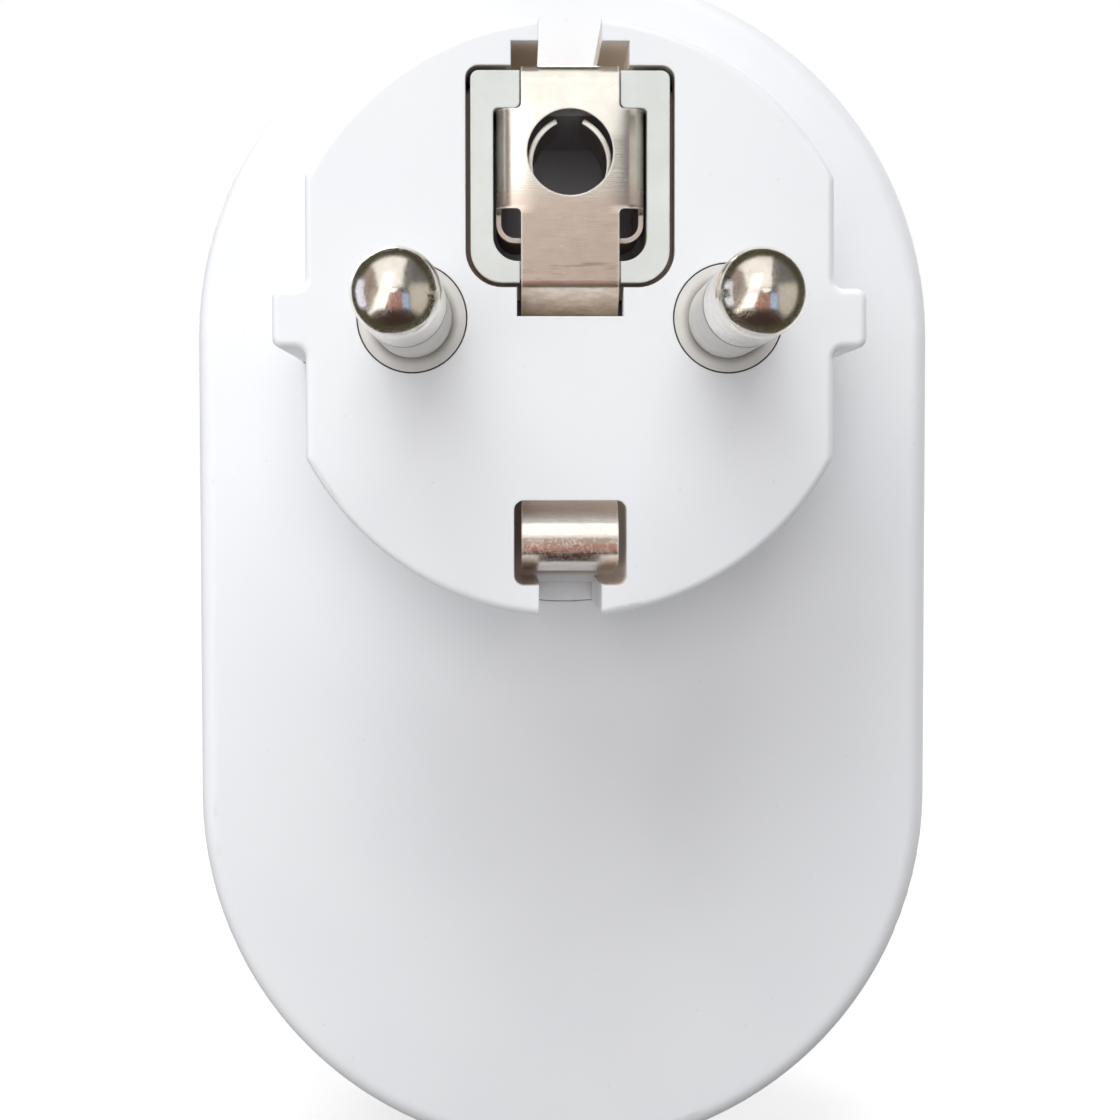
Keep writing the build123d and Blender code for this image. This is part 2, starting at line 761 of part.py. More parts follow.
# Earth post: turned, with a thinner end through the strap and through the bridge
with BuildPart() as earth_post:
    with BuildSketch(at_depth(strap_back_y)):
        with Locations((0, earth_post_z)):
            Circle(earth_post_radius)
    extrude(amount=strap_back_y - bridge_y + clip_sheet / 2)
    with BuildSketch(at_depth(strap_back_y - sheet)):
        with Locations((0, earth_post_z)):
            Circle(tenon_radius)
    extrude(amount=strap_back_y - sheet - well_back_y)
finish(earth_post, "earth_post")


def make_screws(x, z, head_y, name):
    """Pair of screws with their heads at one depth, running towards the plug face."""
    with BuildPart() as screws:
        with BuildSketch(at_depth(head_y)):
            with pair(x, z):
                Circle(screw_head_radius)
        extrude(amount=-screw_head)
        fillet(screws.edges().group_by(Axis.Y)[-1], screw_head / 2)
        with BuildSketch(at_depth(head_y)):
            with pair(x, z):
                Circle(screw_radius - running_gap)
        extrude(amount=screw_length - screw_play)
        with BuildSketch(at_depth(head_y + screw_head)):
            with pair(x, z):
                Rectangle(screw_radius / 2, 2 * screw_radius)
                Rectangle(2 * screw_radius, screw_radius / 2)
        extrude(amount=screw_head / 2, mode=Mode.SUBTRACT)
    finish(screws, name)


make_screws(carrier_screw_x, carrier_screw_z, carrier_back_y, "carrier_screws")
make_screws(board_screw_x, board_screw_z, board_y, "board_screws")

# Charger board: follows the round lower end of the tray
with BuildPart() as circuit_board:
    with BuildSketch(at_depth(board_back_y)):
        with Locations((0, -end_gap)):
            Circle(board_radius)
        band(board_radius, -end_gap, board_top_z)
        band(board_radius, board_top_z, 0, mode=Mode.SUBTRACT)
        with pair(board_screw_x, board_screw_z):
            Circle(screw_radius + screw_play, mode=Mode.SUBTRACT)
    extrude(amount=-board_thickness)
finish(circuit_board, "circuit_board")


def make_usb_port(z, suffix):
    """One upright port: folded shell, moulded tongue with its base, and four contacts."""
    inner_width = usb_width - 2 * usb_sheet
    inner_height = usb_height - 2 * usb_sheet
    tongue_z = z + tongue_rise
    with BuildPart() as shell:
        with BuildSketch(at_depth(board_y)):
            with Locations((0, z)):
                RectangleRounded(usb_width, usb_height, 2 * usb_sheet)
                RectangleRounded(inner_width, inner_height, usb_sheet, mode=Mode.SUBTRACT)
        extrude(amount=-usb_depth)
    finish(shell, "usb_shell_" + suffix)
    with BuildPart() as tongue:
        with BuildSketch(at_depth(board_y)):
            with Locations((0, z)):
                RectangleRounded(inner_width - seat_gap, inner_height - seat_gap, usb_sheet)
        extrude(amount=-usb_base)
        with BuildSketch(at_depth(board_y)):
            with Locations((0, tongue_z)):
                Rectangle(tongue_width, tongue_thickness)
        extrude(amount=tongue_setback - usb_depth)
        chamfer(tongue.faces().sort_by(Axis.Y)[-1].edges(), tongue_thickness / 4)
    finish(tongue, "usb_tongue_" + suffix)
    with BuildPart() as contacts:
        with BuildSketch(at_depth(board_y + usb_base)):
            for x in (-usb_outer_x, -usb_inner_x, usb_inner_x, usb_outer_x):
                with Locations((x, tongue_z - tongue_thickness / 2 - usb_contact_sheet / 2)):
                    Rectangle(usb_contact_width, usb_contact_sheet)
        extrude(amount=2 * tongue_setback + usb_base - usb_depth)
    finish(contacts, "usb_contacts_" + suffix)


make_usb_port(usb_heights[0], "upper")
make_usb_port(usb_heights[1], "lower")

# Transformer: ferrite frame round a wound coil
with BuildPart() as transformer_core:
    with BuildSketch(at_depth(board_y + seat_gap + (coil_depth - core_depth) / 2)):
        with Locations((transformer_x, transformer_z)):
            Rectangle(core_width, core_height)
            Rectangle(core_width - 2 * core_leg, core_height - 2 * core_leg, mode=Mode.SUBTRACT)
    extrude(amount=-core_depth)
finish(transformer_core, "transformer_core")

with BuildPart() as transformer_coil:
    with BuildSketch(at_depth(board_y + seat_gap)):
        with Locations((transformer_x, transformer_z)):
            Rectangle(core_width - 2 * core_leg - seat_gap, core_height - 2 * core_leg - seat_gap)
    extrude(amount=-coil_depth)
    fillet(transformer_coil.edges().filter_by(Axis.Y), coil_corner)
    for low in (0, coil_depth - core_leg / 2):
        with BuildSketch(at_depth(board_y + seat_gap + low)):
            with Locations((transformer_x, transformer_z)):
                RectangleRounded(core_width - core_leg, core_height - core_leg, coil_corner / 2)
        extrude(amount=-core_leg / 2)
finish(transformer_coil, "transformer_coil")


def make_can(x, z, radius, length, name):
    """Capacitor can standing on the board, with a groove rolled in near its foot."""
    with BuildPart() as can:
        with BuildSketch(Plane(origin=(x, board_y + seat_gap, z))):
            with BuildLine():
                FilletPolyline((0, 0), (radius, 0), (radius, length), (0, length),
                               radius=can_edge)
                Line((0, length), (0, 0))
            make_face()
            with Locations((radius, 3 * can_edge)):
                Circle(can_edge / 2, mode=Mode.SUBTRACT)
        revolve(axis=Axis((x, board_y, z), (0, 1, 0)))
    finish(can, name)


make_can(capacitor_x, capacitor_lower_z + capacitor_pitch, capacitor_radius, capacitor_length,
         "input_capacitor_upper")
make_can(capacitor_x, capacitor_lower_z, capacitor_radius, capacitor_length, "input_capacitor_lower")
make_can(output_x, output_z, output_radius, output_length, "output_capacitor")

# Choke: drum core with a wound waist
with BuildPart() as choke_coil:
    with BuildSketch(Plane(origin=(choke_x, board_y + seat_gap, choke_z))):
        with BuildLine():
            Polyline((0, 0), (choke_radius, 0), (choke_radius, choke_flange), (choke_waist, choke_flange),
                     (choke_waist, choke_length - choke_flange),
                     (choke_radius, choke_length - choke_flange), (choke_radius, choke_length),
                     (0, choke_length), close=True)
        make_face()
    revolve(axis=Axis((choke_x, 0, choke_z), (0, 1, 0)))
finish(choke_coil, "choke_coil")

# Film capacitor: moulded box standing between the outlet and the ports
with BuildPart() as film_capacitor:
    with BuildSketch(at_depth(board_y + seat_gap)):
        with Locations((0, film_z)):
            RectangleRounded(film_width, film_thickness, can_edge)
    extrude(amount=-film_height)
finish(film_capacitor, "film_capacitor")

# Fuse: ceramic tube with metal end caps, lying on the back of the board
with BuildPart() as fuse:
    fuse_y = board_back_y - seat_gap - fuse_radius
    with BuildSketch(Plane.YZ.offset(fuse_x)):
        with Locations((fuse_y, fuse_z)):
            Circle(fuse_radius - seat_gap)
    extrude(amount=fuse_length / 2, both=True)
    for side in sides:
        with BuildSketch(Plane.YZ.offset(fuse_x + side * (fuse_length - fuse_cap) / 2)):
            with Locations((fuse_y, fuse_z)):
                Circle(fuse_radius)
        extrude(amount=fuse_cap / 2, both=True)
finish(fuse, "fuse")


def make_chip(x, z, width, length, height, legs, name):
    """Moulded chip on the back of the board, with flat legs out of two sides."""
    with BuildPart() as chip:
        with BuildSketch(at_depth(board_back_y - seat_gap)):
            with Locations((x, z)):
                Rectangle(width, length)
        extrude(amount=height)
        chamfer(chip.faces().sort_by(Axis.Y)[0].edges(), height / 6)
        with BuildSketch(at_depth(board_back_y - seat_gap)):
            with Locations((x, z)):
                with GridLocations(width / legs, 1, legs, 1):
                    Rectangle(leg_width, length + 2 * leg_reach)
        extrude(amount=leg_width / 2)
    finish(chip, name)


make_chip(rectifier_x, rectifier_z, rectifier_size, rectifier_size, rectifier_height, 2, "bridge_rectifier")
make_chip(chip_x, chip_z, chip_width, chip_length, chip_height, 4, "control_chip")
make_chip(coupler_x, coupler_z, coupler_width, coupler_length, coupler_height, 2, "optocoupler")


def make_lead(side, name):
    """Insulated wire from a contact's tab back and down to the board."""
    with BuildPart() as lead:
        with BuildLine(Plane.YZ.offset(side * pin_x)):
            FilletPolyline((contact_back_y, lead_z), (lead_turn_y, lead_z), (lead_turn_y, lead_board_z),
                           (board_back_y, lead_board_z), radius=lead_bend)
        with BuildSketch(at_depth(contact_back_y)):
            with Locations((side * pin_x, lead_z)):
                Circle(lead_radius)
        sweep()
    finish(lead, name)


make_lead(-1, "line_lead")
make_lead(1, "neutral_lead")
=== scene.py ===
"""The looks of a white plug adapter with an outlet and two USB ports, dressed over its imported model."""

import math

import bmesh
import bpy
from mathutils import Matrix, Vector


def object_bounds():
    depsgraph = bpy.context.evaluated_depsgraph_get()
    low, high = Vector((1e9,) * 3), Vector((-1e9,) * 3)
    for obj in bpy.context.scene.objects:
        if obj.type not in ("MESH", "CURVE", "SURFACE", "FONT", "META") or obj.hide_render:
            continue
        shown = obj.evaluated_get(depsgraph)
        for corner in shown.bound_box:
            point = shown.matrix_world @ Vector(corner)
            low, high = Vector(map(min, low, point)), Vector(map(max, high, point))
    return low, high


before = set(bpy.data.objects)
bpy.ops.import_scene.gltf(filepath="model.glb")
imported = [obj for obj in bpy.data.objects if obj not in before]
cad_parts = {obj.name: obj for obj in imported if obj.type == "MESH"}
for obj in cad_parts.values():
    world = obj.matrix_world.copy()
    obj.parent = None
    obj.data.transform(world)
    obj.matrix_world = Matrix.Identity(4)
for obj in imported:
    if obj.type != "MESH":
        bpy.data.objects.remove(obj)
cad_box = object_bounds()

# The housing: tray, plug body, cover, outlet cup and USB plate, injection moulded in white ABS. The
# surface is satin, with a very fine even grain, soft sink marks over the inner ribs, a few dust specks
# and hairlines from handling, painted warm shade in the gaps and in the two pockets of the plug body, and a
# faint painted glow on the pocket walls.


class Wire:
    """An output of a finish's node tree. Sums, differences and products of wires add Math nodes."""

    def __init__(self, tree, socket):
        self.tree = tree
        self.socket = socket

    def node(self, kind, settings, inputs, output=0):
        """Any shader node: its settings are set first, then the values or wires of its sockets."""
        made = self.tree.nodes.new("ShaderNode" + kind)
        for name, value in settings.items():
            setattr(made, name, value)
        for name, value in inputs.items():
            if isinstance(value, Wire):
                self.tree.links.new(made.inputs[name], value.socket)
            else:
                made.inputs[name].default_value = value
        return Wire(self.tree, made.outputs[output])

    def sum_node(self, operation, *values):
        return self.node("Math", {"operation": operation}, dict(enumerate(values)))

    def __add__(self, other):
        return self.sum_node("ADD", self, other)

    def __sub__(self, other):
        return self.sum_node("SUBTRACT", self, other)

    def __rsub__(self, other):
        return self.sum_node("SUBTRACT", other, self)

    def __mul__(self, other):
        return self.sum_node("MULTIPLY", self, other)

    def __abs__(self):
        return self.sum_node("ABSOLUTE", self)

    __radd__ = __add__
    __rmul__ = __mul__

    def step(self, low, high):
        """0 below low, 1 above high, with a smooth slope between. High may be the smaller one."""
        ends = {"Value": self, "From Min": low, "From Max": high}
        return self.node("MapRange", {"interpolation_type": "SMOOTHSTEP"}, ends)

    def band(self, low, high, soft):
        """1 between low and high, fading out over the soft length outside them."""
        return self.step(low - soft, low) * self.step(high + soft, high)

    def choose(self, dark, light, blend="MIX"):
        """A colour that goes from dark to light as this wire goes from 0 to 1."""
        return self.node("Mix", {"data_type": "RGBA", "blend_type": blend}, {0: self, 6: dark, 7: light}, 2)

    def part(self, axis):
        """One number of a point: its X, Y or Z."""
        return self.node("SeparateXYZ", {}, {0: self}, "XYZ".index(axis))

    def stretch(self, along):
        """The points scaled, so that a pattern on them is drawn out along the axes with small factors."""
        return self.node("Mapping", {}, {"Vector": self, "Scale": along})

    def noise(self, fineness, detail=2.0, roughness=0.5):
        """Cloudy noise with about one grain in 1 / fineness millimetres."""
        sizes = {"Vector": self, "Scale": fineness, "Detail": detail, "Roughness": roughness}
        return self.node("TexNoise", {}, sizes)

    def cells(self, fineness):
        """The distance to the nearest of scattered points, for specks, pits and grains."""
        return self.node("TexVoronoi", {}, {"Vector": self, "Scale": fineness})

    def crevice(self, width):
        """1 deep in a gap about as narrow as the width in millimetres, 0 on an open surface."""
        openness = self.node("AmbientOcclusion", {"samples": 2}, {"Distance": width / 1000}, 1)
        return 1.0 - openness

    def rims(self, radius):
        """1 on the edges of a solid, fading out over about the radius in millimetres."""
        rounded = self.node("Bevel", {"samples": 3}, {"Radius": radius / 1000})
        flat = self.node("NewGeometry", {}, {}, "Normal")
        likeness = rounded.node("VectorMath", {"operation": "DOT_PRODUCT"}, {0: rounded, 1: flat}, 1)
        return likeness.step(0.992, 0.94)


class Finish:
    """A procedural material. Its constants sit on the surface shader, and feed() wires in what varies."""

    def __init__(self, name, **constants):
        self.material = bpy.data.materials.new(name)
        self.material.use_nodes = True
        self.material.cycles.emission_sampling = "NONE"
        tree = self.material.node_tree
        self.shader = tree.nodes["Principled BSDF"]
        for socket, value in constants.items():
            self.shader.inputs[socket.replace("_", " ")].default_value = value
        metres = Wire(tree, tree.nodes.new("ShaderNodeTexCoord").outputs["Object"])
        self.place = metres.node("VectorMath", {"operation": "SCALE"}, {0: metres, "Scale": 1000.0})

    def feed(self, **wires):
        """Each wire goes into the surface shader's socket of that name."""
        for socket, wire in wires.items():
            self.material.node_tree.links.new(wire.socket, self.shader.inputs[socket.replace("_", " ")])

    def wear(self, colour, rough, height, depth, edge=0.06):
        """Wires in colour, roughness and a height in 0 to 1 that is depth millimetres deep, and rounds the
        edges by the edge radius in millimetres."""
        corner = self.place.node("Bevel", {"samples": 3}, {"Radius": edge / 1000})
        relief = {"Height": height, "Distance": depth / 1000, "Strength": 1.0, "Normal": corner}
        self.feed(Base_Color=colour, Roughness=rough, Normal=self.place.node("Bump", {}, relief))

    def put_on(self, *nodes):
        """The carried-over solids of these names get this finish in their one material slot."""
        for node in nodes:
            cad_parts[node].material_slots[0].material = self.material


shell = Finish("white_shell", IOR=1.5, Specular_IOR_Level=0.4, Emission_Strength=1.0)
sink = shell.place.noise(0.09, 1.0)
specks = shell.place.cells(0.55).step(0.045, 0.025)
hairlines = shell.place.stretch((0.25, 1.0, 3.0)).noise(1.6, 3.0).band(0.500, 0.503, 0.004)
shell_tone_and_painted_shade = sink.step(0.3, 0.7).choose((0.885, 0.896, 0.915, 1.0), (0.905, 0.916, 0.930, 1.0))
shell_tone_and_painted_shade = (specks * 0.22).choose(shell_tone_and_painted_shade, (0.45, 0.44, 0.43, 1.0))
shell_side = abs(shell.place.part("X"))
shell_back = shell.place.part("Y")
shell_height = shell.place.part("Z")
upper_notch = shell_height.band(14.9, 17.4, 0.2)
lower_pocket = shell_height.band(-17.4, -11.0, 0.2)
lower_slot = shell_side.step(2.2, 2.0) * shell_height.step(-15.8, -16.1)
pocket = shell_side.step(3.9, 3.7) * (upper_notch + lower_pocket)
pocket = pocket * (1.0 - lower_slot)
pocket = pocket * shell_back.step(0.1, 1.8) * shell_back.step(18.2, 17.8)
# Painted shade: the pocket walls of the plug body are coloured warm tan in the upper notch and darker brown
# in the lower pocket.
pocket_painted_shade = upper_notch.choose((0.60, 0.50, 0.43, 1.0), (0.86, 0.74, 0.61, 1.0))
# Painted shade: where ambient occlusion finds a crevice outside the pockets, the shell's white turns warm
# tan, then brown.
shell_crevice_painted_shade = shell.place.crevice(1.6) * (1.0 - pocket)
shell_tone_and_painted_shade = (shell_crevice_painted_shade.step(0.50, 0.72) * 0.8).choose(shell_tone_and_painted_shade, (0.62, 0.53, 0.43, 1.0))
shell_tone_and_painted_shade = (shell_crevice_painted_shade.step(0.78, 0.93) * 0.6).choose(shell_tone_and_painted_shade, (0.42, 0.32, 0.24, 1.0))
shell_tone_and_painted_shade = pocket.choose(shell_tone_and_painted_shade, pocket_painted_shade)
shell_rough = 0.38 + sink * 0.08 + hairlines * 0.06
shell_grain = shell.place.noise(7.0, 2.0) * 0.6 + sink * 0.4
shell.wear(shell_tone_and_painted_shade, shell_rough, shell_grain, 0.003, edge=0.12)
# Painted light: the pocket walls glow faintly warm, more towards their +X side, to lift their shade.
pocket_painted_glow = pocket * (shell.place.part("X").step(0.5, 3.4) * 0.85 + 0.15)
shell.feed(Emission_Color=pocket_painted_glow.choose((0.0, 0.0, 0.0, 1.0), (0.070, 0.062, 0.054, 1.0)))
shell.put_on("rear_housing", "plug_body", "front_cover", "outlet_cup", "usb_bezel")

# The two live pins: turned brass bar, nickel plated and polished, pressed into their bushes. Use has
# left fine scratches along them and a duller ring where the outlet's springs rub.

pin = Finish("nickel_pin", Metallic=1.0)
along_pin = pin.place.stretch((1.0, 0.06, 1.0))
pin_scratches = along_pin.noise(9.0, 3.0).band(0.53, 0.56, 0.03)
pin_haze = pin.place.noise(0.7, 3.0).step(0.35, 0.75)
pin_dents = pin.place.noise(1.1, 2.0)
rubbed = pin.place.part("Y").band(-16.0, -12.5, 1.5)
pin_metal = pin_haze.choose((0.86, 0.82, 0.765, 1.0), (0.76, 0.715, 0.655, 1.0))
pin_rough = 0.09 + pin_haze * 0.05 + rubbed * 0.04 + pin_scratches * 0.08
pin_relief = pin_scratches * 0.1 + pin_haze * 0.1 + pin_dents * 0.8
pin.wear(pin_metal, pin_rough, pin_relief, 0.013)
pin.put_on("line_pin", "neutral_pin")

# The insulating bushes: warm grey nylon moulded round each pin, a thin sleeve that ends in a flush
# disc in the plug face. Slightly matt, with a few stains, and painted shade round the disc and at the step
# to the metal.

bush = Finish("bush_grey", IOR=1.5)
bush_cloud = bush.place.noise(0.5, 3.0)
bush_stain = bush.place.noise(2.2, 4.0).step(0.62, 0.75)
bush_grey = bush_cloud.step(0.3, 0.7).choose((0.70, 0.68, 0.65, 1.0), (0.77, 0.75, 0.72, 1.0))
bush_grey = (bush_stain * 0.25).choose(bush_grey, (0.42, 0.38, 0.32, 1.0))
# Painted shade: a dark brown ring where ambient occlusion finds the narrow gaps round the disc and at the
# step to the metal.
bush_ring_painted_shade = bush.place.crevice(0.5).step(0.30, 0.48)
# Painted shade: a dark band over the last half millimetre of the sleeve, for the shade in the step to the
# metal tip.
bush_end_painted_shade = bush.place.part("Y").step(-9.30, -9.50)
bush_grey = (bush_ring_painted_shade * 0.75).choose(bush_grey, (0.16, 0.13, 0.10, 1.0))
bush_grey = (bush_end_painted_shade * 0.75).choose(bush_grey, (0.17, 0.15, 0.13, 1.0))
bush.wear(bush_grey, 0.40 + bush_cloud * 0.12, bush.place.noise(6.0, 2.0), 0.005, edge=0.1)
bush.put_on("line_pin_bush", "neutral_pin_bush")

# The frame round the upper earth contact: a separate pale grey moulding dropped into the plug face,
# with a matt surface, a few specks, faint yellowing near its gate and painted warm shade down its sides.

surround = Finish("frame_grey", IOR=1.5)
surround_cloud = surround.place.noise(0.35, 3.0)
surround_yellow = surround.place.noise(0.9, 3.0).step(0.58, 0.8)
surround_dots = surround.place.cells(1.3).step(0.07, 0.04)
surround_grey_and_painted_shade = surround_cloud.step(0.3, 0.7).choose((0.715, 0.735, 0.70, 1.0), (0.775, 0.79, 0.76, 1.0))
surround_grey_and_painted_shade = (surround_yellow * 0.35).choose(surround_grey_and_painted_shade, (0.74, 0.70, 0.58, 1.0))
surround_grey_and_painted_shade = (surround_dots * 0.35).choose(surround_grey_and_painted_shade, (0.45, 0.44, 0.42, 1.0))
# Painted shade: the frame's sides turn warm brown from about 0.9 to 1.7 mm behind the plug face, down in
# the gap round it.
surround_gap_painted_shade = surround.place.part("Y").step(0.9, 1.7)
surround_grey_and_painted_shade = (surround_gap_painted_shade * 0.85).choose(surround_grey_and_painted_shade, (0.42, 0.32, 0.24, 1.0))
surround_rough = 0.48 + surround_cloud * 0.12
surround.wear(surround_grey_and_painted_shade, surround_rough, surround.place.noise(5.0, 3.0), 0.008, edge=0.14)
surround.put_on("earth_frame")

# The earth contact and the bridge behind it: strips of spring bronze, nickel plated, stamped and folded.
# Fine rolling lines run across, the plating is duller and warmer on the strap below the hole, and the
# springs of outlets have left short scratches. The cut edges and the top of the lower roll carry painted
# highlights, and the strip deeper behind the face carries painted shade.

strip = Finish("nickel_strip")
across = strip.place.part("X")
height = strip.place.part("Z")
rolled = strip.place.stretch((0.03, 1.0, 1.0)).noise(16.0, 3.0, 0.6)
tarnish = strip.place.noise(0.55, 4.0, 0.6)
mottle = strip.place.stretch((0.4, 1.0, 1.0)).noise(1.7, 5.0, 0.7)
strap = height.step(8.9, 6.4)
roll = height.step(-9.0, -10.0)
foot = height.band(0.1, 1.95, 0.05)
scratches = strip.place.stretch((0.6, 1.0, 1.7)).cells(1.6).step(0.10, 0.04)
scuffs = strip.place.noise(3.2, 4.0, 0.7).band(0.53, 0.555, 0.012) * roll
smudges = strip.place.stretch((0.35, 1.0, 3.0)).noise(0.9, 4.0, 0.6).step(0.52, 0.68)
smudges = smudges * height.band(2.2, 3.2, 0.5)
strip_metal_and_painted_light = tarnish.step(0.3, 0.75).choose((0.91, 0.89, 0.845, 1.0), (0.83, 0.80, 0.75, 1.0))
strap_metal = mottle.step(0.25, 0.75).choose((0.63, 0.53, 0.47, 1.0), (0.73, 0.63, 0.565, 1.0))
roll_metal = mottle.step(0.3, 0.7).choose((0.80, 0.72, 0.66, 1.0), (0.93, 0.87, 0.81, 1.0))
foot_metal = mottle.step(0.35, 0.65).choose((0.76, 0.68, 0.58, 1.0), (0.99, 0.92, 0.82, 1.0))
strip_metal_and_painted_light = (strap * 0.95).choose(strip_metal_and_painted_light, strap_metal)
strip_metal_and_painted_light = foot.choose(strip_metal_and_painted_light, foot_metal)
strip_metal_and_painted_light = roll.choose(strip_metal_and_painted_light, roll_metal)
# Painted highlight: a near-white band across the upper part of the rolled lower clip.
strip_metal_and_painted_light = height.band(-12.95, -11.0, 0.5).choose(strip_metal_and_painted_light, (0.99, 0.965, 0.93, 1.0))
strip_metal_and_painted_light = (smudges * 0.6).choose(strip_metal_and_painted_light, (0.33, 0.28, 0.24, 1.0))
strip_metal_and_painted_light = (scratches * 0.6 + scuffs * 0.5).choose(strip_metal_and_painted_light, (1.0, 0.97, 0.91, 1.0))
# Painted highlight: the cut edges are coloured near white and made less metallic, so they show as light
# lines.
cut_edge_painted_highlight = strip.place.rims(0.2)
strip_metal_and_painted_light = cut_edge_painted_highlight.choose(strip_metal_and_painted_light, (0.97, 0.95, 0.90, 1.0))
# Painted shade: the strip is coloured dark brown and made rougher where it lies deeper than about 2 mm
# behind the plug face, above the fold.
deep_strip_painted_shade = strip.place.part("Y").step(1.2, 2.2) * height.step(2.0, 3.5)
strip_metal_and_painted_light = (deep_strip_painted_shade * 0.8).choose(strip_metal_and_painted_light, (0.25, 0.21, 0.18, 1.0))
strip_rough = 0.15 + rolled * 0.08 + tarnish * 0.06 + strap * 0.10 - roll * 0.06 + deep_strip_painted_shade * 0.2
wing_bow = (across * across).step(3.0, 36.0) * height.step(6.2, 6.8) * height.step(13.6, 12.0)
crown = height.step(10.6, 15.2)
shoulder = height.band(-12.9, -9.0, 0.01) * height.step(-12.9, -11.6)
strip_grain = (rolled * 0.005 + mottle * 0.005) * (1.0 - roll * 0.85) + scratches * 0.004 + scuffs * 0.002
strip_relief = strip_grain + 0.8 - wing_bow * 0.85 - crown * 0.35 + shoulder * 0.3
strip.wear(strip_metal_and_painted_light, strip_rough, strip_relief, 1.0, edge=0.14)
strip.feed(Metallic=1.0 - cut_edge_painted_highlight * 0.75)
strip.put_on("earth_contact", "earth_bridge")

# The carrier: a dark grey nylon block behind the plug face, which holds the contacts. It is the dark
# floor seen through the frame and the hole; its colour is painted a pale grey, as painted light on that
# deep floor.

carrier = Finish("carrier_dark", IOR=1.5, Coat_Weight=0.5, Coat_Roughness=0.25)
carrier_cloud = carrier.place.noise(0.6, 3.0)
# Painted light: a pale grey in place of the nylon's dark grey, to light the deep floor seen through the
# frame and the hole.
carrier_painted_light_grey = carrier_cloud.choose((0.54, 0.52, 0.54, 1.0), (0.63, 0.61, 0.63, 1.0))
carrier.wear(carrier_painted_light_grey, 0.42 + carrier_cloud * 0.2, carrier.place.noise(5.0, 3.0), 0.01, edge=0.1)
carrier.put_on("contact_carrier")

# The outlet's live springs: phosphor bronze strip, folded into a fork that grips the pin of the plug
# put in from the front.

bronze = Finish("contact_bronze", Metallic=1.0)
bronze_lines = bronze.place.stretch((1.0, 0.08, 1.0)).noise(8.0, 3.0)
bronze_stain = bronze.place.noise(0.6, 3.0).step(0.35, 0.75)
bronze_metal = bronze_stain.choose((0.80, 0.60, 0.34, 1.0), (0.56, 0.37, 0.20, 1.0))
bronze.wear(bronze_metal, 0.26 + bronze_lines * 0.14, bronze_lines, 0.005)
bronze.put_on("line_contact", "neutral_contact")

# The earth post and the four small screws: zinc plated steel, with the turning marks of the bar on
# the post and rolled threads on the screws.

zinc = Finish("screw_steel", Metallic=1.0)
zinc_cloud = zinc.place.noise(1.4, 4.0)
zinc_metal = zinc_cloud.choose((0.50, 0.52, 0.55, 1.0), (0.70, 0.70, 0.68, 1.0))
zinc.wear(zinc_metal, 0.28 + zinc_cloud * 0.2, zinc.place.noise(12.0, 2.0), 0.004)
zinc.put_on("earth_post", "carrier_screws", "board_screws")

# The charger board: glass laminate under green solder lacquer, with copper tracks that show through
# as slightly raised lighter lines.

board = Finish("board_green", IOR=1.5, Coat_Weight=0.3)
tracks = board.place.stretch((1.0, 1.0, 0.22)).cells(0.9).band(0.28, 0.40, 0.03)
board_cloud = board.place.noise(1.0, 3.0)
board_green = tracks.choose((0.012, 0.10, 0.045, 1.0), (0.03, 0.19, 0.085, 1.0))
board.wear(board_green, 0.30 + board_cloud * 0.15, tracks * 0.6 + board_cloud * 0.2, 0.02)
board.put_on("circuit_board")

# The USB ports: shells folded from tin plated steel round a tongue moulded in black plastic, with four
# gold plated contacts laid in its underside.

tin = Finish("port_steel", Metallic=1.0)
tin_lines = tin.place.stretch((0.08, 1.0, 1.0)).noise(9.0, 3.0)
tin_metal = tin_lines.choose((0.62, 0.62, 0.62, 1.0), (0.76, 0.76, 0.75, 1.0))
tin.wear(tin_metal, 0.22 + tin_lines * 0.14, tin_lines, 0.004)
tin.put_on("usb_shell_upper", "usb_shell_lower")

tongue = Finish("port_black", IOR=1.5)
tongue_cloud = tongue.place.noise(1.5, 3.0)
tongue_black = tongue_cloud.choose((0.018, 0.018, 0.019, 1.0), (0.035, 0.035, 0.036, 1.0))
tongue.wear(tongue_black, 0.38 + tongue_cloud * 0.15, tongue.place.noise(7.0, 2.0), 0.006)
tongue.put_on("usb_tongue_upper", "usb_tongue_lower")

gold = Finish("port_gold", Metallic=1.0)
gold_lines = gold.place.stretch((1.0, 0.1, 1.0)).noise(10.0, 3.0)
gold_metal = gold_lines.choose((0.80, 0.56, 0.22, 1.0), (0.92, 0.70, 0.34, 1.0))
gold.wear(gold_metal, 0.2 + gold_lines * 0.15, gold_lines, 0.003)
gold.put_on("usb_contacts_upper", "usb_contacts_lower")

# The transformer: two sintered ferrite halves, ground on their joint, round a coil wrapped in yellow
# polyester tape.

ferrite = Finish("ferrite_grey", IOR=1.6)
ferrite_grain = ferrite.place.noise(4.0, 4.0)
ferrite_grey = ferrite_grain.choose((0.035, 0.035, 0.037, 1.0), (0.085, 0.085, 0.088, 1.0))
ferrite.wear(ferrite_grey, 0.5 + ferrite_grain * 0.2, ferrite_grain, 0.02, edge=0.15)
ferrite.put_on("transformer_core")

tape = Finish("coil_tape", IOR=1.5, Coat_Weight=0.4)
tape_turns = tape.place.noise(0.8, 3.0)
tape_yellow = tape_turns.choose((0.72, 0.48, 0.06, 1.0), (0.86, 0.64, 0.14, 1.0))
tape.wear(tape_yellow, 0.3 + tape_turns * 0.15, tape_turns, 0.03)
tape.put_on("transformer_coil", "choke_coil")

# The electrolytic cans in their shrunk sleeves, the film capacitor in its moulded box, and the fuse,
# a glazed ceramic tube.

